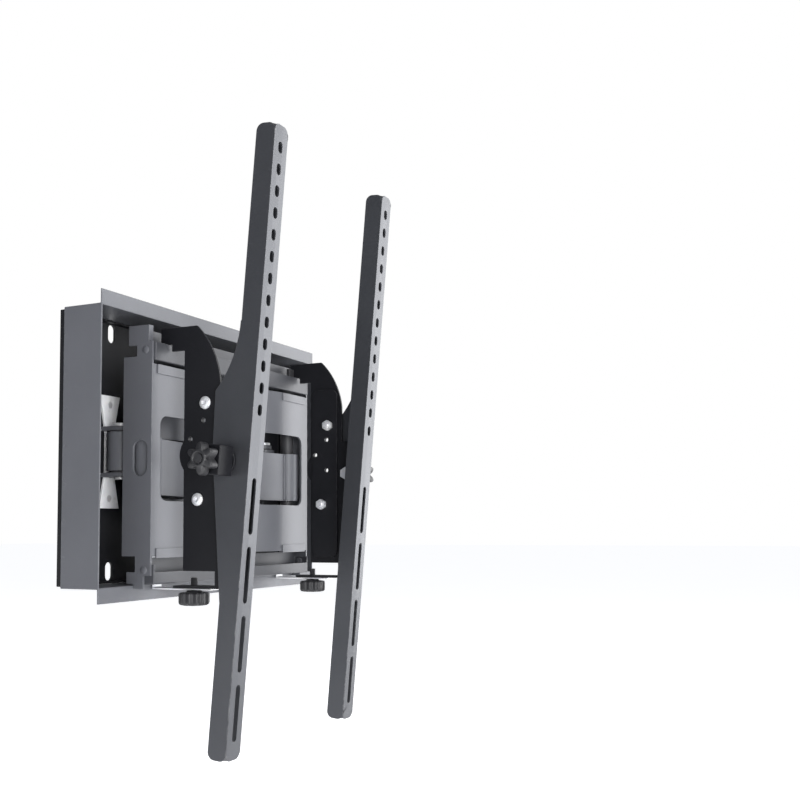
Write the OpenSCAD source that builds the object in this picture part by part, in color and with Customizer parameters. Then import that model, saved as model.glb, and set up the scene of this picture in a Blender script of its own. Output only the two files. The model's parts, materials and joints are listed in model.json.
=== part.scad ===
// Full motion TV wall mount: recessed wall box, two folding arms, a head frame
// with two rails, and two tilting TV brackets that hang on the rails.
// Units are mm. +X runs along the wall, -Y points out of the wall, +Z is up.
// The origin is the centre of the back face of the wall box.

/* [Wall box] */
// Outside width of the wall box
box_w = 470; // [450:2:520]
// Outside height of the wall box body
box_h = 318; // [310:1:340]
// Depth of the wall box
box_d = 62; // [60:1:80]
// Sheet thickness of the wall box
box_t = 2; // [1.5:0.5:3]
// Width of the lap flanges above and below the box
flange_w = 16; // [8:1:30]

/* [Head frame] */
// Distance of the outer face of each head column from the centre
col_x = 177; // [176:0.5:179]
// Sheet thickness of rails, columns and ears
plate_t = 3; // [2.5:0.5:3]

/* [TV brackets] */
// Length of one TV bracket
bracket_len = 720; // [600:10:800]
// Width of one TV bracket
bracket_w = 28; // [26:1:34]
// Depth of the side flanges of a TV bracket
bracket_depth = 25; // [22:1:28]
// Distance of each bracket's outer face from the centre
bracket_x = 152; // [148:1:160]
// Tilt of the TV brackets in the rest pose (degrees, top forward)
rest_tilt = 5; // [0:1:6]
// Width of the TV screw slots
slot_w = 8.4; // [6:0.2:9]
// Number of small slots in the upper half
small_slots = 13; // [4:1:13]
// Number of long slots in the lower half
long_slots = 4; // [1:1:4]

/* [Hidden] */
$fn = 64;
// running fit of a turning pin, and fit of a pin that is held
run_fit = 0.06;
held_fit = 0.02;
// gap kept between parts of different bodies
gap = 0.5;
eps = 1;

// wall box
back_t = 3;
back_rim = 10;
wall_slot_x = 150;
wall_slot_z = 143;
wall_slot_w = 12;
wall_slot_h = 22;

// arm linkage, seen from above (fwd = distance out of the wall box front)
pivot_x = col_x - 21;
wall_pivot_fwd = -38;
head_pivot_fwd = 2;
arm_len = 136;
arm_fold = asin((head_pivot_fwd - wall_pivot_fwd) / 2 / arm_len);
elbow_x = pivot_x - arm_len * cos(arm_fold);
elbow_fwd = (head_pivot_fwd + wall_pivot_fwd) / 2;
pin_r = 6;
pin_head_r = 10;
pin_head_h = 4;
hub_r = 16;
arm_th = 14;
washer_t = 1.4;

// wall hinge bracket
hub_top = 22;
hub_bottom = -24;
lug_top = 67;
lug_bottom = -68;
lug_r = 12;
wall_base_t = 3;
lug_t = 5;
lug_gap = 2;
pin_tail = 5;
base_x = 154;
base_wide = 17;
base_thin = 7;
wall_rivet_r = 4;
wall_rivet_z = 56;

// rear and front arm heights
front_top = 14;
front_bottom = -53;
elbow_r = 14;
riser_from = 14;
riser_to = 26;

// head columns
col_flat_x = 108;
col_fwd = 24;
col_back = -17;
col_top = 98;
col_bottom = -124;
col_curl_r = 76;
col_curl_a = 46;
side_top = 107;
tongue_back = 2;
tongue_top = 124;
tongue_bottom = -146;
tab_back = -10;
tab_clear_z = -156;
tab_front = 19;
tab_top = 143;
tab_bottom = -161;
tab_lip = 8;
rim_t = 1.5;
rim_h = 11;
rim_x = 168;
head_pin_h = 1.8;
window_top = 39;
window_bottom = -60;
window_in = 60;
window_out = 161;
window_r = 12;
side_hole_w = 20;
side_hole_h = 42;
side_hole_fwd = 8;
side_hole_z = -11;
sleeve_r = 9;

// rails: web at the back, flange forward, lip turned up in front
rail_back = 4;
rail_front = 27;
rail_half = col_x - plate_t;
top_rail_z0 = 102;
top_rail_z1 = 140;
top_lip_z = 123;
low_rail_z0 = -156;
low_rail_z1 = -126;
low_lip_z = -142;
rivet_r = 3;
rivet_head_r = 4.5;
rivet_fwd = 15;
top_rivet_z = 114;
low_rivet_z = -139.5;
rail_tab_h = 6.5;

// ear plates (left one; the right one is its mirror image)
ear_x = bracket_x - 3.5;
ear_t = 3;
ear_back = 48;
ear_front = 98;
ear_top = 143;
ear_low = -141;
ear_mid_front = 120;
ear_mid_half = 45;
ear_arc_r = 106.7;
ear_arc_fwd = -7.8;
ear_arc_z = 65;
hook_back = 14;
hook_front = 21;
hook_z = 123.5;
hook_lip_fwd = 30;
hook_lip_z = 115;
hook_tip_z = 112;
rail_gap_front = 92;
rail_gap_z = -158;
lug_plate_z = -161;
lug_plate_w = 20.5;
lug_back = 34;
lock_x = -ear_x + lug_plate_w / 2 + 1;
doubler_t = 3;
ear_bolt_r = 4;
ear_nut_r = 7.4;
ear_nut_h = 6;
pad_w = 12;
ear_bolt_head_r = 7.5;
ear_bulge = 6;
ear_bulge_r = 26;
small_hole_r = 3;
small_holes = [[75, 32], [57, 11], [75, -11]];
ear_bolt_a = [78, 52];
ear_bolt_b = [68, -59];

// rail latch and lock knob under each ear
latch_t = 2;
latch_w = 16;
latch_z = lug_plate_z - held_fit;
latch_back = 0.8;
latch_lip_z = -148;
lock_fwd = 56;
lock_knob_r = 18;
scallop_out = 1.6;
scallop_r = 3;
lock_knob_z0 = -181;
lock_knob_z1 = -163.6;
lock_stud_r = 4;
lock_stud_top = -149;

// tilt pivot
pivot_fwd = 106;
pivot_z = -16;
pivot_bolt_r = 5;
face_n = 33.9;
face_t = 25.05;
bracket_t = 2.5;
bracket_end_r = 9;
leaf_n = -19;
leaf_cut_r = 135;
leaf_cut_n = -127;
leaf_top = 160;
leaf_mid = 12;
leaf_mid_n = -16.5;
leaf_low = -160;
cup_r = 17;
cup_t = 4;
block_w = 30;
block_h = 34;
block_from = cup_t;
block_to = 30;
knob_core_r = 11.5;
knob_lobe_at = 13.6;
knob_lobe_r = 5.2;
knob_lobes = 6;
knob_from = 30.5;
knob_to = 50;
stop_r = 3;
stop_reach = 12;
stop_fit = 0.4;
tilt_low = -2;
tilt_high = 14.5;
tilt_step = 1.5;

// bracket slots, measured down from the top end
small_first = 25;
small_pitch = 25;
small_len = 13;
long_first = 434;
long_pitch = 77.7;
long_len = 64;

// colours
silver = [0.60, 0.61, 0.64];
black = [0.09, 0.09, 0.10];
zinc = [0.80, 0.80, 0.82];
nylon = [0.14, 0.14, 0.15];

// box between two corners; f values are distances out of the box front
module block(x0, x1, f0, f1, z0, z1) {
    translate([x0, -box_d - f1, z0])
        cube([x1 - x0, f1 - f0, z1 - z0]);
}

// upright cylinder at (x, f)
module post(x, f, r, z0, z1) {
    translate([x, -box_d - f, z0])
        cylinder(r = r, h = z1 - z0);
}

// cylinder along X at (f, z)
module rod(f, z, r, x0, x1) {
    translate([x0, -box_d - f, z])
        rotate([0, 90, 0])
            cylinder(r = r, h = x1 - x0);
}

// hexagonal prism along X at (f, z)
module hex_rod(f, z, r, x0, x1) {
    translate([x0, -box_d - f, z])
        rotate([0, 90, 0])
            cylinder(r = r, h = x1 - x0, $fn = 6);
}

// flat plate facing X between x0 and x1; its outline is drawn as (f, z)
module plate_x(x0, x1) {
    translate([x1, -box_d, 0])
        rotate([90, 0, -90])
            linear_extrude(height = x1 - x0)
                children();
}

// flat plate facing Y between f0 and f1; its outline is drawn as (x, z)
module plate_y(f0, f1) {
    translate([0, -box_d - f0, 0])
        rotate([90, 0, 0])
            linear_extrude(height = f1 - f0)
                children();
}

// upright slot outline centred on the origin
module slot_2d(w, h) {
    square([w, h - w], center = true);
    for (s = [-1, 1])
        translate([0, s * (h - w) / 2])
            circle(r = w / 2);
}

// rectangle outline with round corners
module round_rect(x0, x1, y0, y1, r) {
    translate([x0 + r, y0])
        square([x1 - x0 - 2 * r, y1 - y0]);
    translate([x0, y0 + r])
        square([x1 - x0, y1 - y0 - 2 * r]);
    for (x = [x0 + r, x1 - r], y = [y0 + r, y1 - r])
        translate([x, y])
            circle(r = r);
}

module both() {
    children();
    mirror([1, 0, 0])
        children();
}

module right() {
    mirror([1, 0, 0])
        children();
}

// ---------- wall box ----------

module recess_shell() {
    rear = back_t + 5;
    color(silver) {
        difference() {
            translate([-box_w / 2, -box_d, -box_h / 2])
                cube([box_w, box_d - rear, box_h]);
            translate([-box_w / 2 + box_t, -box_d - eps, -box_h / 2 + box_t])
                cube([box_w - 2 * box_t, box_d - rear + 2 * eps, box_h - 2 * box_t]);
        }
        for (s = [0, 1])
            mirror([0, 0, s])
                translate([-box_w / 2, -box_d, box_h / 2 - box_t])
                    cube([box_w, box_t, flange_w + box_t]);
    }
}

module back_plate() {
    hx = box_w / 2 - box_t;
    hz = box_h / 2 - box_t;
    color(black)
        difference() {
            translate([-hx, -back_rim, -hz])
                cube([2 * hx, back_rim, 2 * hz]);
            translate([-hx + box_t, -back_rim - eps, -hz + box_t])
                cube([2 * (hx - box_t), back_rim - back_t + eps, 2 * (hz - box_t)]);
            for (x = [-wall_slot_x, 0, wall_slot_x], z = [-wall_slot_z, wall_slot_z])
                translate([x, eps, z])
                    rotate([90, 0, 0])
                        linear_extrude(height = back_t + 2 * eps)
                            slot_2d(wall_slot_w, wall_slot_h);
            for (x = [-base_x, base_x], z = [-wall_rivet_z, wall_rivet_z])
                translate([x, eps, z])
                    rotate([90, 0, 0])
                        cylinder(r = wall_rivet_r + held_fit, h = back_t + 2 * eps);
        }
}

module wall_bracket_left() {
    back = -box_d + back_t;
    color(zinc)
        difference() {
            union() {
                plate_y(back, back + wall_base_t)
                    translate([-base_x, 0])
                        polygon([
                            [-base_wide, lug_top],
                            [-base_thin, hub_top],
                            [-base_thin, hub_bottom],
                            [-base_wide, lug_bottom],
                            [base_wide, lug_bottom],
                            [base_thin, hub_bottom],
                            [base_thin, hub_top],
                            [base_wide, lug_top]
                        ]);
                for (z = [hub_top + lug_gap, hub_bottom - lug_gap - lug_t]) {
                    block(-pivot_x - lug_r, -pivot_x + lug_r, back, wall_pivot_fwd, z, z + lug_t);
                    post(-pivot_x, wall_pivot_fwd, lug_r, z, z + lug_t);
                }
            }
            post(-pivot_x, wall_pivot_fwd, pin_r + held_fit, lug_bottom - eps, lug_top + eps);
            for (z = [-wall_rivet_z, wall_rivet_z])
                translate([-base_x, eps, z])
                    rotate([90, 0, 0])
                        cylinder(r = wall_rivet_r + held_fit, h = box_d);
        }
}

module wall_bracket_right() {
    right()
        wall_bracket_left();
}

// flush rivets that hold the hinge brackets on the back plate
module wall_bracket_rivets() {
    color(zinc)
        both()
            for (z = [-wall_rivet_z, wall_rivet_z])
                translate([-base_x, 0, z])
                    rotate([90, 0, 0])
                        cylinder(r = wall_rivet_r, h = back_t + wall_base_t);
}

module wall_hinge_pins() {
    top = hub_top + lug_gap + lug_t;
    color(zinc)
        both() {
            post(-pivot_x, wall_pivot_fwd, pin_r, hub_bottom - lug_t - pin_tail, top);
            post(-pivot_x, wall_pivot_fwd, pin_head_r, top, top + pin_head_h);
        }
}

module wall_hinge_washers() {
    color(nylon)
        both()
            for (z = [hub_top + 2 - washer_t, hub_bottom - 2])
                difference() {
                    post(-pivot_x, wall_pivot_fwd, lug_r, z, z + washer_t);
                    post(-pivot_x, wall_pivot_fwd, pin_r + held_fit, z - eps, z + washer_t + eps);
                }
}

// ---------- arms ----------

// places a shape drawn along +X from the left wall pivot
module at_rear_arm() {
    translate([-pivot_x, -box_d - wall_pivot_fwd, 0])
        rotate([0, 0, -arm_fold])
            children();
}

// places a shape drawn along -X from the left elbow
module at_front_arm() {
    translate([-elbow_x, -box_d - elbow_fwd, 0])
        rotate([0, 0, arm_fold])
            children();
}

module rear_arm_left() {
    upper = front_top + 4;
    lower = front_bottom - 2;
    color(silver)
        at_rear_arm()
            difference() {
                union() {
                    translate([0, 0, hub_bottom])
                        cylinder(r = hub_r, h = hub_top - hub_bottom);
                    translate([0, -arm_th / 2, hub_bottom])
                        cube([riser_from + eps, arm_th, hub_top - hub_bottom]);
                    translate([riser_from, -arm_th / 2, lug_bottom])
                        cube([riser_to - riser_from, arm_th, lug_top - lug_bottom]);
                    for (s = [[upper, lug_top], [lug_bottom, lower]]) {
                        translate([riser_to - eps, -arm_th / 2, s[0]])
                            cube([arm_len - riser_to + eps, arm_th, s[1] - s[0]]);
                        translate([arm_len, 0, s[0]])
                            cylinder(r = elbow_r, h = s[1] - s[0]);
                    }
                }
                translate([0, 0, hub_bottom - eps])
                    cylinder(r = pin_r + run_fit, h = hub_top - hub_bottom + 2 * eps);
                translate([arm_len, 0, lug_bottom - eps])
                    cylinder(r = pin_r + held_fit, h = lug_top - lug_bottom + 2 * eps);
            }
}

module rear_arm_right() {
    right()
        rear_arm_left();
}

module elbow_pin_left() {
    color(zinc) {
        post(-elbow_x, elbow_fwd, pin_r, lug_bottom - 3, lug_top);
        post(-elbow_x, elbow_fwd, pin_head_r, lug_top, lug_top + pin_head_h);
    }
}

module elbow_pin_right() {
    right()
        elbow_pin_left();
}

module elbow_washers_left() {
    z = front_top + 4 - washer_t;
    color(nylon)
        difference() {
            post(-elbow_x, elbow_fwd, elbow_r - 1, z, z + washer_t);
            post(-elbow_x, elbow_fwd, pin_r + held_fit, z - eps, z + washer_t + eps);
        }
}

module elbow_washers_right() {
    right()
        elbow_washers_left();
}

module front_arm_left() {
    h = front_top - front_bottom;
    color(silver)
        at_front_arm()
            difference() {
                union() {
                    translate([0, 0, front_bottom])
                        cylinder(r = elbow_r, h = h);
                    translate([-arm_len, -arm_th / 2, front_bottom])
                        cube([arm_len, arm_th, h]);
                    translate([-arm_len, 0, front_bottom])
                        cylinder(r = hub_r, h = h);
                }
                for (x = [-arm_len, 0])
                    translate([x, 0, front_bottom - eps])
                        cylinder(r = pin_r + run_fit, h = h + 2 * eps);
            }
}

// the right head pivot is the open one, so its bore has a working gap
module front_arm_right() {
    h = front_top - front_bottom;
    difference() {
        right()
            front_arm_left();
        post(pivot_x, head_pivot_fwd, pin_r + gap, front_bottom - eps, front_top + eps);
    }
}

// ---------- head frame ----------

module column_window_2d() {
    round_rect(-window_out, -window_in, window_bottom, window_top, window_r);
}

module head_column_left() {
    curl_f = col_fwd - col_curl_r;
    inner = -col_x + plate_t;
    color(silver)
        difference() {
            union() {
                block(-col_x, -col_flat_x + eps / 10, col_fwd - plate_t, col_fwd, col_bottom, col_top);
                translate([-col_flat_x, -box_d - curl_f, col_bottom])
                    rotate([0, 0, -90])
                        rotate_extrude(angle = col_curl_a, $fn = 128)
                            translate([col_curl_r - plate_t, 0])
                                square([plate_t, col_top - col_bottom]);
                block(-col_x, inner, col_back, col_fwd, col_bottom, side_top);
                block(-col_x, inner, tongue_back, col_fwd, tongue_bottom, tongue_top);
                block(-col_x, inner, tab_back, tab_front, tongue_top - 4, tab_top);
                block(-col_x, inner, tab_back, tab_front - 5, tab_clear_z, tongue_bottom + 4);
                block(-col_x, inner, gap, tab_front - 5, tab_bottom, tongue_bottom + 4);
                block(-col_x, -col_x + tab_lip, tab_front - plate_t, tab_front, tongue_top, tab_top);
                for (z = [col_bottom, col_top - plate_t])
                    block(-col_x, -col_flat_x, col_back, col_fwd, z, z + plate_t);
            }
            plate_y(-col_fwd, col_fwd + eps)
                column_window_2d();
            plate_x(-col_x - eps, inner + eps)
                translate([side_hole_fwd, side_hole_z])
                    slot_2d(side_hole_w, side_hole_h);
            post(-pivot_x, head_pivot_fwd, pin_r + held_fit, col_bottom - eps, col_top + eps);
            for (z = [low_rivet_z, top_rivet_z])
                rod(rivet_fwd, z, rivet_r + held_fit, -col_x - eps, inner + eps);
        }
}

module head_column_right() {
    right()
        head_column_left();
}

module head_pins() {
    color(zinc)
        both() {
            post(-pivot_x, head_pivot_fwd, pin_r, col_bottom, col_top);
            post(-pivot_x, head_pivot_fwd, pin_head_r, col_top, col_top + head_pin_h);
            post(-pivot_x, head_pivot_fwd, pin_head_r, col_bottom - head_pin_h, col_bottom);
        }
}

module head_sleeves() {
    color(nylon)
        both()
            for (s = [[front_top + gap, col_top - plate_t], [col_bottom + plate_t, front_bottom - gap]])
                difference() {
                    post(-pivot_x, head_pivot_fwd, sleeve_r, s[0], s[1]);
                    post(-pivot_x, head_pivot_fwd, pin_r + held_fit, s[0] - eps, s[1] + eps);
                }
}

// folded rims over the top and bottom edge of each column
module column_rims() {
    color(silver)
        both()
            for (z = [col_bottom - 2, col_top - rim_h])
                block(-rim_x, -col_flat_x, col_fwd, col_fwd + rim_t, z, z + rim_h);
}

module rail(z0, z1, lip_z, rivet_z) {
    difference() {
        union() {
            block(-rail_half, rail_half, rail_back, rail_back + plate_t, z0, z1);
            block(-rail_half, rail_half, rail_back, rail_front, z0, z0 + plate_t);
            block(-rail_half, rail_half, rail_front - plate_t, rail_front, z0, lip_z);
            both()
                block(-rail_half, -rail_half + plate_t, rail_back, rail_front, z0, rivet_z + rail_tab_h);
        }
        both()
            rod(rivet_fwd, rivet_z, rivet_r + held_fit, -col_x, -rail_half + plate_t + eps);
    }
}

module top_rail() {
    color(silver)
        rail(top_rail_z0, top_rail_z1, top_lip_z, top_rivet_z);
}

module bottom_rail() {
    color(silver)
        rail(low_rail_z0, low_rail_z1, low_lip_z, low_rivet_z);
}

module rail_rivets() {
    color(zinc)
        both()
            for (z = [low_rivet_z, top_rivet_z]) {
                rod(rivet_fwd, z, rivet_r, -col_x, -rail_half + plate_t);
                rod(rivet_fwd, z, rivet_head_r, -col_x - rim_t, -col_x);
                rod(rivet_fwd, z, rivet_head_r, -rail_half + plate_t, -rail_half + plate_t + rim_t);
            }
}

// ---------- ears ----------

module ear_holes_2d() {
    for (b = [ear_bolt_a, ear_bolt_b])
        translate(b)
            circle(r = ear_bolt_r + held_fit);
    for (b = small_holes)
        translate(b)
            circle(r = small_hole_r);
}

module ear_2d() {
    difference() {
        union() {
            translate([ear_back, rail_gap_z])
                square([ear_front - ear_back, ear_arc_z - rail_gap_z]);
            intersection() {
                union() {
                    translate([ear_back, ear_arc_z - eps])
                        square([ear_front - ear_back, ear_top - ear_arc_z + eps]);
                    translate([hook_back, hook_z])
                        square([ear_front - hook_back, ear_top - hook_z]);
                    translate([hook_lip_fwd, hook_lip_z])
                        square([ear_front - hook_lip_fwd, ear_top - hook_lip_z]);
                }
                translate([ear_arc_fwd, ear_arc_z])
                    circle(r = ear_arc_r, $fn = 160);
            }
            translate([hook_back, hook_tip_z])
                square([hook_front - hook_back, hook_z - hook_tip_z + eps]);
            translate([ear_back + ear_bulge_r - ear_bulge, pivot_z + 8])
                circle(r = ear_bulge_r);
            translate([ear_front - eps, pivot_z - ear_mid_half])
                square([ear_mid_front - ear_front + eps, 2 * ear_mid_half]);
        }
        translate([ear_back - eps, rail_gap_z - eps])
            square([rail_gap_front - ear_back + eps, ear_low - rail_gap_z + eps]);
        ear_holes_2d();
        translate([pivot_fwd, pivot_z])
            circle(r = pivot_bolt_r + held_fit);
        translate([pivot_fwd, pivot_z - stop_reach])
            circle(r = stop_r + held_fit);
    }
}

module ear_plate_left() {
    color(black)
        difference() {
            union() {
                plate_x(-ear_x, -ear_x + ear_t)
                    ear_2d();
                block(-ear_x, -ear_x + lug_plate_w, lug_back, ear_front, lug_plate_z, rail_gap_z);
            }
            post(lock_x, lock_fwd, lock_stud_r + run_fit, lug_plate_z - eps, rail_gap_z + eps);
        }
}

module ear_plate_right() {
    right()
        ear_plate_left();
}

module ear_doubler_left() {
    color(black)
        plate_x(-ear_x + ear_t, -ear_x + ear_t + doubler_t)
            difference() {
                round_rect(ear_back + 5, ear_front - 6, ear_low + 8, ear_top - 40, 10);
                ear_holes_2d();
            }
}

module ear_doubler_right() {
    right()
        ear_doubler_left();
}

module ear_bolts_left() {
    color(zinc)
        for (b = [ear_bolt_a, ear_bolt_b]) {
            rod(b[0], b[1], ear_bolt_r, -ear_x, -ear_x + ear_t + doubler_t + 10);
            rod(b[0], b[1], ear_bolt_head_r, -ear_x - 4, -ear_x);
        }
}

module ear_bolts_right() {
    right()
        ear_bolts_left();
}

module ear_nuts_left() {
    x0 = -ear_x + ear_t + doubler_t;
    color(zinc)
        for (b = [ear_bolt_a, ear_bolt_b])
            difference() {
                hex_rod(b[0], b[1], ear_nut_r, x0, x0 + ear_nut_h);
                rod(b[0], b[1], ear_bolt_r + held_fit, x0 - eps, x0 + ear_nut_h + 1);
            }
}

module ear_nuts_right() {
    right()
        ear_nuts_left();
}

module hook_pad_left() {
    color(nylon)
        block(
            -ear_x + ear_t,
            -ear_x + ear_t + pad_w,
            hook_back + 1,
            hook_front - gap,
            hook_tip_z + 1,
            hook_z + pad_w
        );
}

module hook_pad_right() {
    right()
        hook_pad_left();
}

module rail_latch_left() {
    x0 = -ear_x + 4;
    color(zinc)
        difference() {
            union() {
                block(x0, x0 + latch_w, latch_back, 84, latch_z - latch_t, latch_z);
                block(x0, x0 + latch_w, latch_back, latch_back + latch_t, latch_z - latch_t, latch_lip_z);
            }
            post(lock_x, lock_fwd, lock_stud_r + run_fit, latch_z - 5, latch_z + eps);
        }
}

module rail_latch_right() {
    right()
        rail_latch_left();
}

module lock_knob_left() {
    color(black) {
        difference() {
            post(lock_x, lock_fwd, lock_knob_r, lock_knob_z0, lock_knob_z1);
            for (a = [0:30:330])
                translate([lock_x, -box_d - lock_fwd, lock_knob_z0 - eps])
                    rotate([0, 0, a])
                        translate([lock_knob_r + scallop_out, 0, 0])
                            cylinder(r = scallop_r, h = lock_knob_z1 - lock_knob_z0 + 2 * eps);
        }
        post(lock_x, lock_fwd, lock_stud_r, lock_knob_z1 - eps, lock_stud_top);
    }
}

module lock_knob_right() {
    right()
        lock_knob_left();
}

// ---------- tilting TV brackets ----------

// places a shape drawn with the pivot at the origin, -Y as the bracket's
// face direction and +Z along the bracket, at the rest tilt
module at_tilt() {
    translate([0, -box_d - pivot_fwd, pivot_z])
        rotate([rest_tilt, 0, 0])
            children();
}

// plate facing X in the tilting frame; outline drawn as (n, t)
module tilt_plate(x0, x1) {
    translate([x1, 0, 0])
        rotate([90, 0, -90])
            linear_extrude(height = x1 - x0)
                children();
}

module flange_2d(leaf) {
    t0 = face_t - bracket_len / 2;
    joint_n = face_n - bracket_depth + eps;
    difference() {
        union() {
            translate([face_n - bracket_depth, 0])
                round_rect(0, bracket_depth, t0, t0 + bracket_len, bracket_end_r);
            if (leaf)
                difference() {
                    polygon([
                        [joint_n, leaf_top],
                        [leaf_n, leaf_top],
                        [leaf_n, leaf_top / 2],
                        [leaf_mid_n, leaf_mid],
                        [joint_n - eps, leaf_low],
                        [joint_n, leaf_low]
                    ]);
                    translate([leaf_cut_n, leaf_top])
                        circle(r = leaf_cut_r, $fn = 128);
                }
        }
        if (leaf) {
            circle(r = pivot_bolt_r + run_fit);
            for (a = [tilt_low:tilt_step:tilt_high])
                rotate(a)
                    translate([0, -stop_reach])
                        circle(r = stop_r + stop_fit);
        }
    }
}

module face_2d() {
    t0 = face_t - bracket_len / 2;
    x0 = -bracket_x;
    difference() {
        round_rect(x0, x0 + bracket_w, t0, t0 + bracket_len, bracket_end_r);
        for (i = [0:small_slots - 1])
            translate([x0 + bracket_w / 2, t0 + bracket_len - small_first - i * small_pitch])
                slot_2d(slot_w, small_len);
        for (i = [0:long_slots - 1])
            translate([x0 + bracket_w / 2, t0 + bracket_len - long_first - i * long_pitch])
                slot_2d(slot_w, long_len);
    }
}

module tv_bracket_left() {
    color(silver)
        at_tilt() {
            tilt_plate(-bracket_x, -bracket_x + bracket_t)
                flange_2d(true);
            tilt_plate(-bracket_x + bracket_w - bracket_t, -bracket_x + bracket_w)
                flange_2d(false);
            translate([0, -face_n + bracket_t, 0])
                rotate([90, 0, 0])
                    linear_extrude(height = bracket_t)
                        face_2d();
        }
}

module tv_bracket_right() {
    right()
        tv_bracket_left();
}

module tilt_cup_left() {
    color(black)
        at_tilt()
            difference() {
                translate([-bracket_x - cup_t, 0, 0])
                    rotate([0, 90, 0])
                        cylinder(r = cup_r, h = cup_t);
                translate([-bracket_x - cup_t - eps, 0, 0])
                    rotate([0, 90, 0])
                        cylinder(r = pivot_bolt_r + run_fit, h = cup_t + 2 * eps);
            }
}

module tilt_cup_right() {
    right()
        tilt_cup_left();
}

module tilt_block_left() {
    color(black)
        at_tilt()
            difference() {
                translate([-bracket_x - block_to, -block_w / 2, -block_h / 2])
                    cube([block_to - block_from, block_w, block_h]);
                translate([-bracket_x - block_to - eps, 0, 0])
                    rotate([0, 90, 0])
                        cylinder(r = pivot_bolt_r + run_fit, h = block_to + 2 * eps);
            }
}

module tilt_block_right() {
    right()
        tilt_block_left();
}

module pivot_bolt_left() {
    inner = -ear_x + ear_t;
    color(zinc) {
        rod(pivot_fwd, pivot_z, pivot_bolt_r, -bracket_x - knob_to + 8, inner);
        hex_rod(pivot_fwd, pivot_z, 9, inner, inner + 5);
    }
}

module pivot_bolt_right() {
    right()
        pivot_bolt_left();
}

module tilt_knob_left() {
    x0 = -bracket_x - knob_to;
    x1 = -bracket_x - knob_from;
    color(black)
        difference() {
            union() {
                rod(pivot_fwd, pivot_z, knob_core_r, x0, x1);
                for (i = [0:knob_lobes - 1])
                    rod(pivot_fwd + knob_lobe_at * cos(i * 360 / knob_lobes),
                        pivot_z + knob_lobe_at * sin(i * 360 / knob_lobes),
                        knob_lobe_r, x0 + 3, x1 - 2);
            }
            rod(pivot_fwd, pivot_z, pivot_bolt_r + run_fit, x0 + 8 - gap, x1 + eps);
        }
}

module tilt_knob_right() {
    right()
        tilt_knob_left();
}

module stop_pin_left() {
    color(zinc)
        rod(pivot_fwd, pivot_z - stop_reach, stop_r, -bracket_x + gap / 2, -ear_x + ear_t);
}

module stop_pin_right() {
    right()
        stop_pin_left();
}

recess_shell();
back_plate();
wall_bracket_left();
wall_bracket_right();
wall_bracket_rivets();
wall_hinge_pins();
wall_hinge_washers();
rear_arm_left();
rear_arm_right();
elbow_pin_left();
elbow_pin_right();
elbow_washers_left();
elbow_washers_right();
front_arm_left();
front_arm_right();
head_column_left();
head_column_right();
head_pins();
head_sleeves();
top_rail();
bottom_rail();
column_rims();
rail_rivets();
ear_plate_left();
ear_plate_right();
ear_doubler_left();
ear_doubler_right();
ear_bolts_left();
ear_bolts_right();
ear_nuts_left();
ear_nuts_right();
hook_pad_left();
hook_pad_right();
rail_latch_left();
rail_latch_right();
lock_knob_left();
lock_knob_right();
tv_bracket_left();
tv_bracket_right();
tilt_cup_left();
tilt_cup_right();
tilt_block_left();
tilt_block_right();
pivot_bolt_left();
pivot_bolt_right();
tilt_knob_left();
tilt_knob_right();
stop_pin_left();
stop_pin_right();
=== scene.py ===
"""Looks for the full motion TV wall mount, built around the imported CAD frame."""

import json
import math

import bmesh
import bpy
from mathutils import Matrix, Vector, noise
from mathutils.bvhtree import BVHTree


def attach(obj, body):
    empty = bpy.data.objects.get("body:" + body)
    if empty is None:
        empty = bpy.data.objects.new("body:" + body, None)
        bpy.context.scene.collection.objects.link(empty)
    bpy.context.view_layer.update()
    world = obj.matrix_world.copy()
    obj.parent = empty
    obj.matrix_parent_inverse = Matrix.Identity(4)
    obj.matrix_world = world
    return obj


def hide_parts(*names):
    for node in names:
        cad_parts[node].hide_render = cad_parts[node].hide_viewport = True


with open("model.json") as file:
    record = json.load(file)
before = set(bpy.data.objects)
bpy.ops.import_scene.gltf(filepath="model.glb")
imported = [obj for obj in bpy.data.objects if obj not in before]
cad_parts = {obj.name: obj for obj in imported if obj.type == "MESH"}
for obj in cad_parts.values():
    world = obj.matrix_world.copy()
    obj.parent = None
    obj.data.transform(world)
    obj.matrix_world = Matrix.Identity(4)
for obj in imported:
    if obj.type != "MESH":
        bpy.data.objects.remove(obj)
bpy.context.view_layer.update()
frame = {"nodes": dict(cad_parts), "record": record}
NODES = frame["nodes"]
RECORD = frame["record"]
BODY_OF = {n: b for b, ns in RECORD["behaviour"]["bodies"].items() for n in ns}
SLOT_OF = {s["node"]: s["material_slot"] for s in RECORD["subparts"]}
MM = 0.001
WELD = 2e-6  # points closer than this are one point, in metres
BEND_WELD = 3e-5  # the same, for the slivers that a bend leaves at its ends
scene = bpy.context.scene


# ---------- materials ----------

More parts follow.
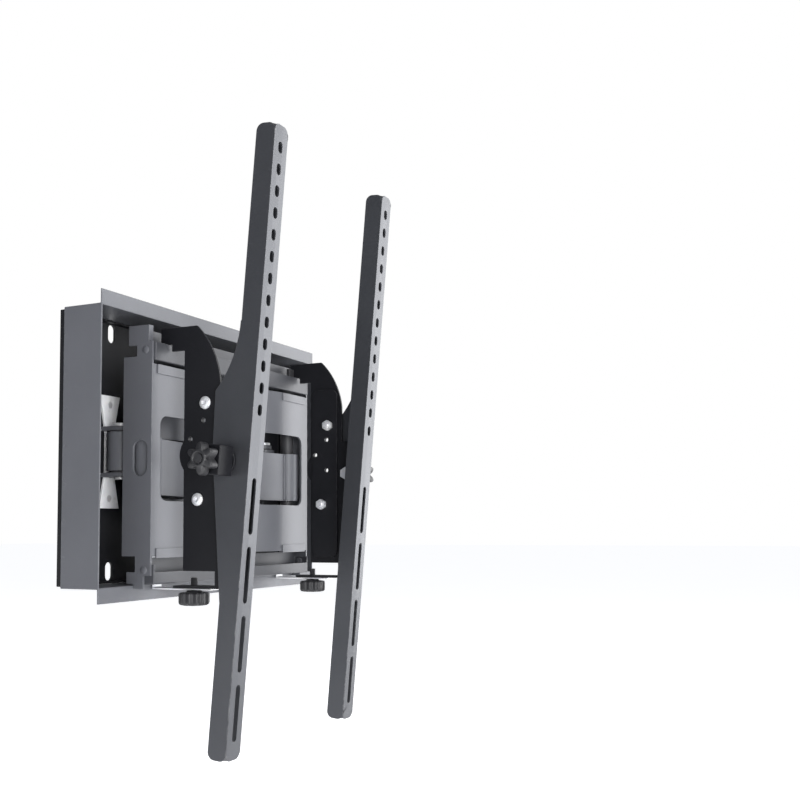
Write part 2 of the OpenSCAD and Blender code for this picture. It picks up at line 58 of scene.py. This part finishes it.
class Shader:
    """A small builder for one node material."""

    def __init__(self, name):
        self.mat = bpy.data.materials.new(name)
        self.mat.use_nodes = True
        self.tree = self.mat.node_tree
        self.bsdf = self.tree.nodes["Principled BSDF"]
        self.coord = self.add("ShaderNodeTexCoord").outputs["Object"]

    def add(self, kind, **inputs):
        node = self.tree.nodes.new(kind)
        for key, value in inputs.items():
            self.put(node.inputs[key.replace("_", " ")], value)
        return node

    def put(self, socket, value):
        if isinstance(value, bpy.types.NodeSocket):
            self.tree.links.new(value, socket)
        elif value is not None:
            socket.default_value = value

    def noise(self, scale, detail=2.0, rough=0.5, stretch=None, distort=0.0):
        src = self.coord
        if stretch:
            src = self.add("ShaderNodeMapping", Vector=src, Scale=stretch).outputs[0]
        node = self.add("ShaderNodeTexNoise", Vector=src, Scale=scale, Detail=detail,
                        Roughness=rough, Distortion=distort)
        return node.outputs["Fac"]

    def cells(self, scale):
        node = self.add("ShaderNodeTexVoronoi", Vector=self.coord, Scale=scale)
        return node.outputs["Color"]

    def ramp(self, value, low, high, out_low=0.0, out_high=1.0):
        node = self.add("ShaderNodeMapRange", Value=value)
        node.clamp = True
        limits = {"From Min": low, "From Max": high, "To Min": out_low, "To Max": out_high}
        for key, v in limits.items():
            node.inputs[key].default_value = v
        return node.outputs["Result"]

    def math(self, op, a, b=None):
        node = self.add("ShaderNodeMath")
        node.operation = op
        self.put(node.inputs[0], a)
        self.put(node.inputs[1], b)
        return node.outputs[0]

    def mix(self, factor, a, b, blend="MIX"):
        node = self.add("ShaderNodeMix")
        node.data_type = "RGBA"
        node.blend_type = blend
        self.put(node.inputs["Factor"], factor)
        for socket, value in ((node.inputs[6], a), (node.inputs[7], b)):
            if isinstance(value, tuple) and len(value) == 3:
                value = value + (1.0,)
            self.put(socket, value)
        return node.outputs[2]

    def edges(self, radius, low, high):
        """1 on the outer edges and corners, 0 on the flats."""
        bevel = self.add("ShaderNodeBevel", Radius=radius)
        bevel.samples = 4
        true = self.add("ShaderNodeNewGeometry").outputs["True Normal"]
        dot = self.add("ShaderNodeVectorMath")
        dot.operation = "DOT_PRODUCT"
        self.put(dot.inputs[0], bevel.outputs[0])
        self.put(dot.inputs[1], true)
        return self.ramp(dot.outputs["Value"], high, low)

    def up(self, low, high):
        """1 where a surface faces up."""
        normal = self.add("ShaderNodeNewGeometry").outputs["True Normal"]
        z = self.add("ShaderNodeSeparateXYZ", Vector=normal).outputs["Z"]
        return self.ramp(z, low, high)

    def bump(self, height, distance, strength=1.0, under=None):
        node = self.add("ShaderNodeBump", Height=height, Distance=distance, Strength=strength)
        if under is not None:
            self.put(node.inputs["Normal"], under)
        return node.outputs[0]

    def finish(self, color, roughness, normal, **constants):
        self.put(self.bsdf.inputs["Base Color"], color)
        self.put(self.bsdf.inputs["Roughness"], roughness)
        self.put(self.bsdf.inputs["Normal"], normal)
        for key, value in constants.items():
            self.bsdf.inputs[key.replace("_", " ")].default_value = value
        return self.mat


def powder_coat(name, deep, light, rough, metallic, peel, wear, dust, specular=0.5):
    """Powder coat over sheet steel: orange peel, faint clouding, rubbed edges and a little dust."""
    s = Shader(name)
    cloud = s.noise(9.0, 4.0, 0.55)
    color = s.mix(s.ramp(cloud, 0.32, 0.68), deep, light)
    fleck = s.cells(2600.0)
    color = s.mix(0.06, color, fleck, "SOFT_LIGHT")
    rub = s.math("MULTIPLY", s.edges(0.0011, 0.86, 0.995), s.ramp(s.noise(70.0, 5.0, 0.7), 0.44, 0.62))
    color = s.mix(s.math("MULTIPLY", rub, wear), color, (0.46, 0.46, 0.47))
    settled = s.math("MULTIPLY", s.up(0.55, 0.98), s.ramp(s.noise(38.0, 6.0, 0.66), 0.38, 0.72))
    color = s.mix(s.math("MULTIPLY", settled, dust), color, (0.42, 0.40, 0.37))
    streak = s.noise(26.0, 5.0, 0.6, (1.0, 1.0, 0.18))
    roughness = s.ramp(streak, 0.2, 0.8, rough - 0.02, rough + 0.04)
    roughness = s.math("ADD", roughness, s.math("MULTIPLY", settled, 0.16))
    wave = s.bump(s.noise(430.0, 2.0, 0.45), 0.00035, peel)
    grain = s.bump(s.noise(2300.0, 2.0, 0.6), 0.00006, 0.5, wave)
    return s.finish(color, roughness, grain, Metallic=metallic, Specular_IOR_Level=specular)


def zinc_plate(name, deep, light, rough, metallic=0.45):
    """Bright zinc plate: faint spangle, drawing marks and a slight blue and straw cast."""
    s = Shader(name)
    spangle = s.cells(420.0)
    cast = s.mix(s.ramp(s.noise(60.0, 3.0), 0.35, 0.65), deep, light)
    color = s.mix(0.10, cast, spangle, "SOFT_LIGHT")
    color = s.mix(s.ramp(s.noise(150.0, 6.0, 0.7), 0.60, 0.78, 0.0, 0.35), color, (0.32, 0.31, 0.29))
    scuff = s.noise(900.0, 4.0, 0.6, (1.0, 0.12, 0.12))
    roughness = s.ramp(scuff, 0.3, 0.7, rough - 0.07, rough + 0.10)
    normal = s.bump(scuff, 0.00005, 0.5, s.bump(s.noise(240.0, 2.0), 0.0002, 0.25))
    return s.finish(color, roughness, normal, Metallic=metallic)


def moulded(name, deep, light, rough, grain_scale, grain_depth, wear):
    """Moulded plastic with a spark-eroded grain and slightly polished edges."""
    s = Shader(name)
    color = s.mix(s.ramp(s.noise(30.0, 4.0), 0.35, 0.65), deep, light)
    polished = s.math("MULTIPLY", s.edges(0.0012, 0.84, 0.99), s.ramp(s.noise(160.0, 4.0), 0.40, 0.62))
    color = s.mix(s.math("MULTIPLY", polished, wear), color, (0.11, 0.11, 0.115))
    smear = s.noise(55.0, 5.0, 0.6)
    roughness = s.ramp(smear, 0.3, 0.7, rough - 0.07, rough + 0.08)
    roughness = s.math("SUBTRACT", roughness, s.math("MULTIPLY", polished, 0.14))
    normal = s.bump(s.noise(grain_scale, 3.0, 0.65), grain_depth, 0.7)
    return s.finish(color, roughness, normal, Specular_IOR_Level=0.5)


MATS = {
    "silver_paint": powder_coat("silver powder coat", (0.118, 0.122, 0.136), (0.130, 0.134, 0.149),
                                0.42, 0.06, 0.22, 0.35, 0.12, 0.40),
    "graphite_paint": powder_coat("graphite powder coat", (0.070, 0.073, 0.082), (0.082, 0.085, 0.094),
                                  0.33, 0.55, 0.20, 0.40, 0.15),
    # painted shade: the rails' coat is the silver powder coat darkened to stand for the shade they lie in
    "rail_painted_shade": powder_coat("silver powder coat darkened as painted shade", (0.058, 0.060, 0.068), (0.068, 0.070, 0.079),
                              0.44, 0.10, 0.26, 0.45, 0.16, 0.40),
    # painted light: this copy of the zinc plate is made near white and non-metallic so the wall bracket plates
    # deep in the box look brightly lit
    "zinc_painted_light": zinc_plate("zinc plate brightened as painted light", (0.86, 0.87, 0.90), (0.94, 0.94, 0.94), 0.50, 0.0),
    "black_paint": powder_coat("black powder coat", (0.0055, 0.0058, 0.0080), (0.0085, 0.0088, 0.0115),
                               0.52, 0.0, 0.30, 0.14, 0.04, 0.32),
    "zinc_steel": zinc_plate("bright zinc plate", (0.72, 0.73, 0.77), (0.82, 0.82, 0.82), 0.40),
    "black_knob": moulded("black moulded plastic", (0.015, 0.015, 0.017), (0.024, 0.024, 0.027),
                          0.46, 2100.0, 0.00009, 0.30),
    "black_nylon": moulded("dark satin nylon", (0.030, 0.030, 0.033), (0.044, 0.044, 0.048),
                           0.52, 1500.0, 0.00005, 0.20),
}
LOOK_OF = {
    "tv_bracket_left": "graphite_paint", "tv_bracket_right": "graphite_paint",
    # the rails take the silver coat darkened as painted shade
    "top_rail": "rail_painted_shade", "bottom_rail": "rail_painted_shade",
    # the wall brackets take the zinc brightened as painted light
    "wall_bracket_left": "zinc_painted_light", "wall_bracket_right": "zinc_painted_light",
}


def material_for(node):
    return MATS[LOOK_OF.get(node, SLOT_OF[node])]


# ---------- folded and eased copies of the CAD nodes ----------

# sheet thickness of the folded nodes, in mm
SHEET = {
    "recess_shell": 2.0, "back_plate": 2.0, "head_column_left": 3.0, "head_column_right": 3.0,
    "top_rail": 3.0, "bottom_rail": 3.0, "tv_bracket_left": 2.5, "tv_bracket_right": 2.5,
    "wall_bracket_left": 3.0, "wall_bracket_right": 3.0, "rail_latch_left": 2.0, "rail_latch_right": 2.0,
}


def reach(face, edge):
    """How far a face runs away from one of its edges, in metres."""
    a = edge.verts[0].co
    d = (edge.verts[1].co - a).normalized()
    return max(((v.co - a) - d * (v.co - a).dot(d)).length for v in face.verts)


def bend_edges(bm, thickness, convex):
    """The long right-angled edges between two wide faces, which are the folds of the sheet."""
    found = []
    for e in bm.edges:
        if len(e.link_faces) != 2 or e.calc_length() < 6 * MM:
            continue
        angle = e.calc_face_angle_signed(0.0)
        if (angle > 0) != convex or not math.radians(70) < abs(angle) < math.radians(110):
            continue
        if min(reach(f, e) for f in e.link_faces) > (thickness * 2 + 1.5) * MM:
            found.append(e)
    return found


def bevel(bm, edges, offset, segments, clamp=True):
    if edges:
        bmesh.ops.bevel(bm, geom=edges, offset=offset, offset_type="OFFSET", segments=segments,
                        profile=0.5, affect="EDGES", clamp_overlap=clamp)


def eased_copy(node, ease=0.35, ease_segments=2):
    """A copy of a CAD node with folded bends where it is sheet metal and eased edges everywhere.

    The easing isn't clamped, so a point that it throws off the surface at a tight corner is put back.
    """
    bm = bmesh.new()
    bm.from_mesh(NODES[node].data)
    bmesh.ops.remove_doubles(bm, verts=bm.verts, dist=WELD)
    bmesh.ops.dissolve_limit(bm, angle_limit=math.radians(0.4), verts=bm.verts, edges=bm.edges,
                             delimit={"NORMAL"})
    t = SHEET.get(node)
    if t:
        bevel(bm, bend_edges(bm, t, True), (t + 1.2) * MM, 5)
        bevel(bm, bend_edges(bm, t, False), 1.2 * MM, 3)
        bmesh.ops.remove_doubles(bm, verts=bm.verts, dist=BEND_WELD)
    sharp = [e for e in bm.edges if len(e.link_faces) == 2
             and e.calc_face_angle(0.0) > math.radians(32)]
    before = BVHTree.FromBMesh(bm)
    bevel(bm, sharp, ease * MM, ease_segments, False)
    for v in bm.verts:
        spot, _, _, gap = before.find_nearest(v.co)
        if gap > 0.8 * ease * MM:
            v.co = spot
    return bm


def corner_normals(bm, area, normal):
    """Shading normals that keep every flat face flat and let only the eased edges turn."""
    found = []
    near = math.cos(math.radians(50))
    for face in bm.faces:
        own = face[normal]
        for v in face.verts:
            group = [g for g in v.link_faces if g[normal].dot(own) > near] or [face]
            largest = max(g[area] for g in group)
            total = Vector()
            seen = []
            for g in group:
                key = (round(g[area], 12), tuple(round(c, 4) for c in g[normal]))
                if g[area] >= 0.45 * largest and key not in seen:
                    seen.append(key)
                    total += g[normal] * g[area]
            found.append(total.normalized() if total.length > 0 else Vector((0, 0, 1)))
    return found


def place(bm, name, body, slot, replaces=None, material=None):
    bmesh.ops.remove_doubles(bm, verts=bm.verts, dist=WELD)
    bm.normal_update()
    area = bm.faces.layers.float.new("area")
    normal = bm.faces.layers.float_vector.new("flat_normal")
    for f in bm.faces:
        f[area] = f.calc_area()
        f[normal] = f.normal
    bmesh.ops.triangulate(bm, faces=[f for f in bm.faces if len(f.verts) > 4])
    bm.verts.index_update()
    bm.faces.index_update()
    normals = corner_normals(bm, area, normal)
    bm.faces.layers.float.remove(bm.faces.layers.float["area"])
    bm.faces.layers.float_vector.remove(bm.faces.layers.float_vector["flat_normal"])
    mesh = bpy.data.meshes.new(name)
    bm.to_mesh(mesh)
    bm.free()
    mesh.materials.append(material or MATS[slot])
    for p in mesh.polygons:
        p.use_smooth = True
        p.material_index = 0
    mesh.normals_split_custom_set(normals)
    ob = bpy.data.objects.new(name, mesh)
    scene.collection.objects.link(ob)
    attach(ob, body)
    if replaces:
        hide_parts(replaces)
    return ob


# ---------- detail pieces ----------

# places on the CAD model, in metres
BOX_X = 0.235
COLUMN_X = 0.177
EAR_FACE_X = 0.1485
RIVET_Y = -0.077
RIVET_Z = (-0.1395, 0.114)
EAR_BOLT_AT = ((0.052, -0.140), (-0.059, -0.130))
TILT_KNOB_AT = (0.1825, -0.168, -0.016)
LOCK_KNOB_AT = (0.13725, -0.118, -0.1636)
LUG_FROM_Y = -0.0062
# arm linkage seen from above, in mm
PIVOT_X = 156
WALL_PIVOT_Y = -24
ARM_LEN = 136
ARM_STEP = 20

def basis(axis):
    w = Vector(axis).normalized()
    u = w.orthogonal().normalized() if abs(w.x) < 0.9 else Vector((0, 0, 1))
    return u, w.cross(u), w


def turned(bm, rings, origin, axis, segments=48):
    """Closed shell made of rings (height, radius) in mm; a radius may be a function of the angle."""
    u, v, w = basis(axis)
    o = Vector(origin)
    loops = []
    for height, radius in rings:
        loop = []
        for k in range(segments):
            a = 2 * math.pi * k / segments
            r = radius(a) if callable(radius) else radius
            loop.append(bm.verts.new(o + (w * height + (u * math.cos(a) + v * math.sin(a)) * r) * MM))
        loops.append(loop)
    for low, high in zip(loops, loops[1:]):
        for k in range(segments):
            n = (k + 1) % segments
            bm.faces.new((low[k], low[n], high[n], high[k]))
    bm.faces.new(list(reversed(loops[0])))
    bm.faces.new(loops[-1])


def hexagon(half_flat, soften=0.0):
    def radius(a):
        corner = (a % (math.pi / 3)) - math.pi / 6
        return min(half_flat / math.cos(corner), half_flat * 1.1547 - soften)
    return radius


def lobed(core, reach_out, lobes, inset=0.0, sharp=1.0, turn=0.0):
    """Star knob outline: rounded lobes that stand out from a core."""
    def radius(a):
        wave = 0.5 + 0.5 * math.cos(lobes * (a - turn))
        return core + (reach_out - core) * wave ** sharp - inset
    return radius


def thread(start, end, outer=4.0, depth=0.55, pitch=1.25):
    rings = []
    h = start
    while h < end:
        rings += [(h, outer - depth), (h + pitch * 0.45, outer), (h + pitch * 0.6, outer)]
        h += pitch
    return rings


def mirrored(side):
    return -1.0 if side == "left" else 1.0


def button_bolt(bm, base, axis, length):
    """Socket button head bolt: the head stands on base and the shank runs back along the axis."""
    head = [(0.0, 7.0), (0.25, 7.4), (0.9, 7.5), (1.6, 7.3), (2.4, 6.6), (3.1, 5.5), (3.6, 4.4),
            (3.85, 3.45), (3.8, hexagon(2.75)), (3.5, hexagon(2.5)), (1.4, hexagon(2.5))]
    turned(bm, head, base, axis)
    back = tuple(-c for c in axis)
    rings = [(0.0, 4.0), (length - 6.5, 4.0)] + thread(length - 6.0, length - 1.2) + [(length, 3.2)]
    turned(bm, rings, base, back, 36)


def ear_bolts(side):
    s = mirrored(side)
    bm = bmesh.new()
    for z, y in EAR_BOLT_AT:
        button_bolt(bm, (s * EAR_FACE_X, y, z), (s, 0, 0), 16.0)
    place(bm, "ear_bolts_%s_detail" % side, "ear_" + side, "zinc_steel", "ear_bolts_" + side)


def rail_rivets():
    """Dome head outside and rolled rim inside, through the column wall."""
    head = [(-3.0, 3.0), (0.0, 3.0), (0.02, 4.2), (0.35, 4.5), (0.8, 4.15), (1.2, 3.1), (1.45, 1.6), (1.5, 0.5)]
    rim = [(0.0, 4.3), (0.3, 4.5), (0.8, 4.1), (1.2, 3.0), (1.4, 1.7), (1.1, 1.3), (0.4, 1.2)]
    bm = bmesh.new()
    for s in (-1.0, 1.0):
        for z in RIVET_Z:
            turned(bm, head, (s * COLUMN_X, RIVET_Y, z), (s, 0, 0))
            turned(bm, rim, (s * (COLUMN_X - 0.006), RIVET_Y, z), (-s, 0, 0))
    place(bm, "rail_rivets_detail", "head_frame", "silver_paint", "rail_rivets")


def star_knob(side):
    """Six-lobed tilt knob with a dished face and an insert in the middle."""
    s = mirrored(side)
    bm = bmesh.new()
    foot = (s * TILT_KNOB_AT[0],) + TILT_KNOB_AT[1:]
    out = 18.6
    rings = [(0.0, lobed(8.0, 11.0, 6)), (0.4, lobed(9.4, 12.0, 6)), (2.0, lobed(9.6, 12.6, 6)),
             (2.4, lobed(10.4, out, 6, 2.6, 0.8)), (2.9, lobed(10.6, out, 6, 1.2, 0.75)),
             (4.0, lobed(10.8, out, 6, 0.3, 0.7)), (5.6, lobed(11.0, out, 6, 0.0, 0.7)),
             (12.6, lobed(11.0, out, 6, 0.15, 0.7)), (15.0, lobed(10.9, out, 6, 0.5, 0.72)),
             (16.2, lobed(10.7, out, 6, 1.3, 0.75)), (16.8, lobed(10.4, out, 6, 2.6, 0.8)),
             (17.2, lobed(10.0, 13.2, 6, 0.5)), (18.1, 9.7), (18.9, 9.3), (19.3, 8.6), (19.4, 7.6),
             (19.1, 7.0), (18.0, 6.6), (17.2, 5.4)]
    turned(bm, rings, foot, (s, 0, 0), 96)
    place(bm, "tilt_knob_%s_detail" % side, "tilt_knob_" + side, "black_knob", "tilt_knob_" + side)
    bm = bmesh.new()
    insert = [(16.6, 5.2), (18.2, 5.2), (18.5, 5.0), (18.6, 4.4), (18.45, 3.8), (18.6, 2.4), (18.65, 1.0)]
    turned(bm, insert, foot, (s, 0, 0), 48)
    place(bm, "tilt_knob_cap_" + side, "tilt_knob_" + side, "black_knob")


def lock_knob(side):
    """Scalloped clamp knob under each ear, dished below, on a threaded stud."""
    s = mirrored(side)
    bm = bmesh.new()
    at = (s * LOCK_KNOB_AT[0],) + LOCK_KNOB_AT[1:]
    rim = 17.95
    rings = [(0.0, 7.0), (0.15, 8.4), (0.9, 8.9), (1.6, 9.4), (2.1, lobed(12.4, 14.2, 12, 0.6)),
             (2.5, lobed(14.6, rim, 12, 1.4)), (3.2, lobed(15.2, rim, 12, 0.4)),
             (4.4, lobed(15.4, rim, 12, 0.0)), (13.0, lobed(15.4, rim, 12, 0.0)),
             (14.8, lobed(15.2, rim, 12, 0.3)), (16.0, lobed(14.9, rim, 12, 1.1)),
             (16.9, lobed(14.0, 16.0, 12, 1.0)), (17.3, 12.2), (17.4, 11.0), (17.0, 10.3), (15.2, 9.8),
             (14.8, 8.8)]
    stud = [(0.0, 4.0)] + thread(0.4, 13.4, 3.98, 0.4) + [(14.6, 3.3)]
    turned(bm, rings, at, (0, 0, -1), 96)
    turned(bm, stud, at, (0, 0, 1), 36)
    place(bm, "lock_knob_%s_detail" % side, "lock_knob_" + side, "black_knob", "lock_knob_" + side)


def bead(bm, start, end, radius, lie, pitch=2.4):
    """A weld bead: overlapping flat ripples along a straight joint, pressed against the surface."""
    a, b = Vector(start), Vector(end)
    along = (b - a).normalized()
    out = Vector(lie).normalized()
    across = along.cross(out)
    steps = max(6, int((b - a).length / (pitch * MM / 4)))
    loops = []
    for k in range(steps + 1):
        t = k / steps
        travel = (b - a).length * t / MM
        fade = min(1.0, 0.45 + 3.0 * min(t, 1 - t) * (b - a).length / (8 * MM))
        swell = 0.84 + 0.16 * abs(math.sin(math.pi * travel / pitch))
        r = radius * fade * swell * (1 + 0.10 * noise.noise(Vector((travel * 0.35, radius, a.z * 40))))
        middle = a + (b - a) * t
        loops.append([bm.verts.new(middle + (across * math.cos(q) * 1.15 + out * math.sin(q)) * r * MM)
                      for q in (2 * math.pi * n / 12 for n in range(12))])
    for low, high in zip(loops, loops[1:]):
        for n in range(12):
            m = (n + 1) % 12
            bm.faces.new((low[n], low[m], high[m], high[n]))
    bm.faces.new(list(reversed(loops[0])))
    bm.faces.new(loops[-1])


def arm_beads(side):
    """Welds where the flat arms meet their hubs."""
    s = mirrored(side)
    fold = math.asin(ARM_STEP / ARM_LEN)
    hub_join, elbow_join, half = 14.6, 12.3, 7.2
    pieces = {
        "rear_link_": (Vector((-PIVOT_X, WALL_PIVOT_Y)), -fold, 1,
                       [(hub_join, -23.0, 21.0), (ARM_LEN - elbow_join, 19.0, 66.0),
                        (ARM_LEN - elbow_join, -67.0, -56.0)]),
        "front_link_": (Vector((-PIVOT_X + ARM_LEN * math.cos(fold), WALL_PIVOT_Y - ARM_STEP)), fold, -1,
                        [(ARM_LEN - hub_join, -52.0, 13.0), (elbow_join, -52.0, 13.0)]),
    }
    for body, (origin, turn, way, joins) in pieces.items():
        bm = bmesh.new()
        for x, z0, z1 in joins:
            for face in (-1, 1):
                lx, ly = x * way, half * face
                px = origin.x + lx * math.cos(turn) - ly * math.sin(turn)
                py = origin.y + lx * math.sin(turn) + ly * math.cos(turn)
                lie = (math.sin(turn) * -face * -s, math.cos(turn) * face, 0)
                bead(bm, (-s * px * MM, py * MM, z0 * MM), (-s * px * MM, py * MM, z1 * MM), 1.5, lie)
        place(bm, body + side + "_welds", body + side, "silver_paint")


def spot_welds():
    """Shallow pressed spots where the shell laps over the rim of the back plate."""
    spot = [(-0.3, 3.1), (0.02, 3.1), (0.18, 2.7), (0.2, 2.3), (0.05, 1.9), (0.03, 0.6)]
    bm = bmesh.new()
    for s in (-1.0, 1.0):
        for k in range(7):
            turned(bm, spot, (s * BOX_X, -0.0115, (-126 + 42 * k) * MM), (s, 0, 0), 32)
    place(bm, "box_spot_welds", "wall_box", "silver_paint")


def paint_lugs(side):
    """The hinge lugs carry the paint of the arms, and only the pressed plate behind them keeps the zinc
    brightened as painted light.
    """
    mesh = bpy.data.objects["wall_bracket_%s_skin" % side].data
    mesh.materials.append(MATS["silver_paint"])
    for p in mesh.polygons:
        p.material_index = int(p.center.y < LUG_FROM_Y)


# widths of the eased edges in mm, where they are not sheet edges
EASE_OF = {"tilt_block_left": 1.4, "tilt_block_right": 1.4, "tilt_cup_left": 0.9, "tilt_cup_right": 0.9,
           "hook_pad_left": 0.8, "hook_pad_right": 0.8, "head_sleeves": 0.6,
           "wall_hinge_pins": 0.7, "elbow_pin_left": 0.7, "elbow_pin_right": 0.7, "head_pins": 0.6}
REDRAWN = {"ear_bolts_left", "ear_bolts_right", "rail_rivets", "tilt_knob_left", "tilt_knob_right",
           "lock_knob_left", "lock_knob_right"}

for node, ob in NODES.items():
    ob.data.materials.clear()
    ob.data.materials.append(material_for(node))
    if node not in REDRAWN:
        bm = eased_copy(node, EASE_OF.get(node, 0.35), 3 if node in EASE_OF else 2)
        place(bm, node + "_skin", BODY_OF[node], SLOT_OF[node], node, material_for(node))
rail_rivets()
spot_welds()
for side in ("left", "right"):
    paint_lugs(side)
    ear_bolts(side)
    star_knob(side)
    lock_knob(side)
    arm_beads(side)


# ---------- studio ----------

def aim(ob, target):
    ob.rotation_euler = (Vector(target) - ob.location).to_track_quat("-Z", "Y").to_euler()


def area_light(name, place_at, target, size, energy, color=(1.0, 1.0, 1.0)):
    data = bpy.data.lights.new(name, "AREA")
    data.shape = "RECTANGLE"
    data.size, data.size_y = size
    data.energy = energy
    data.color = color
    ob = bpy.data.objects.new(name, data)
    scene.collection.objects.link(ob)
    ob.location = place_at
    aim(ob, target)
    return ob


def build_camera():
    data = bpy.data.cameras.new("camera")
    data.sensor_width = 36.0
    data.lens = 45.45
    data.shift_y = 0.0875
    ob = bpy.data.objects.new("camera", data)
    scene.collection.objects.link(ob)
    yaw, pitch, roll = math.radians(65.2), math.radians(3.3), math.radians(-0.24)
    ahead = Vector((math.sin(yaw) * math.cos(pitch), math.cos(yaw) * math.cos(pitch), math.sin(pitch)))
    side = Vector((math.cos(yaw), -math.sin(yaw), 0.0))
    above = side.cross(ahead)
    right = math.cos(roll) * side + math.sin(roll) * above
    up = math.cos(roll) * above - math.sin(roll) * side
    m = Matrix((right, up, -ahead)).transposed().to_4x4()
    m.translation = Vector((-1.103, -0.827, -0.093))
    ob.matrix_world = m
    scene.camera = ob


def build_studio():
    scene.view_settings.view_transform = "Standard"
    world = bpy.data.worlds.new("studio")
    scene.world = world
    world.use_nodes = True
    tree = world.node_tree
    tree.nodes.clear()
    out = tree.nodes.new("ShaderNodeOutputWorld")
    mix = tree.nodes.new("ShaderNodeMixShader")
    path = tree.nodes.new("ShaderNodeLightPath")
    fill = tree.nodes.new("ShaderNodeBackground")
    back = tree.nodes.new("ShaderNodeBackground")
    fill.inputs["Color"].default_value = (0.86, 0.91, 1.0, 1.0)
    fill.inputs["Strength"].default_value = 0.22
    back.inputs["Color"].default_value = (1.0, 1.0, 1.0, 1.0)
    back.inputs["Strength"].default_value = 1.0
    tree.links.new(path.outputs["Is Camera Ray"], mix.inputs[0])
    tree.links.new(fill.outputs[0], mix.inputs[1])
    tree.links.new(back.outputs[0], mix.inputs[2])
    tree.links.new(mix.outputs[0], out.inputs["Surface"])
    area_light("key", (2.1, -1.35, 0.25), (0.0, -0.15, 0.0), (2.4, 2.6), 86.0)
    area_light("front", (-0.4, -2.8, 1.1), (0.0, -0.1, 0.0), (1.8, 1.8), 16.0)
    area_light("left_fill", (-1.75, -2.4, 0.10), (0.0, -0.1, 0.0), (1.5, 1.5), 59.0)
    area_light("top", (0.2, -0.3, 2.6), (0.0, -0.1, 0.0), (1.8, 1.8), 14.0)
    bpy.ops.mesh.primitive_plane_add(size=40, location=(0, 0, -0.47))
    floor = bpy.context.object
    floor.name = "floor"
    s = Shader("pale floor")
    tone = s.mix(s.ramp(s.noise(3.0, 3.0), 0.3, 0.7), (0.86, 0.86, 0.87), (0.90, 0.90, 0.91))
    s.put(s.bsdf.inputs["Emission Color"], (1.0, 1.0, 1.0, 1.0))
    s.finish(tone, s.ramp(s.noise(12.0, 4.0), 0.3, 0.7, 0.5, 0.6), None, Emission_Strength=0.8)
    floor.data.materials.append(s.mat)


build_camera()
build_studio()
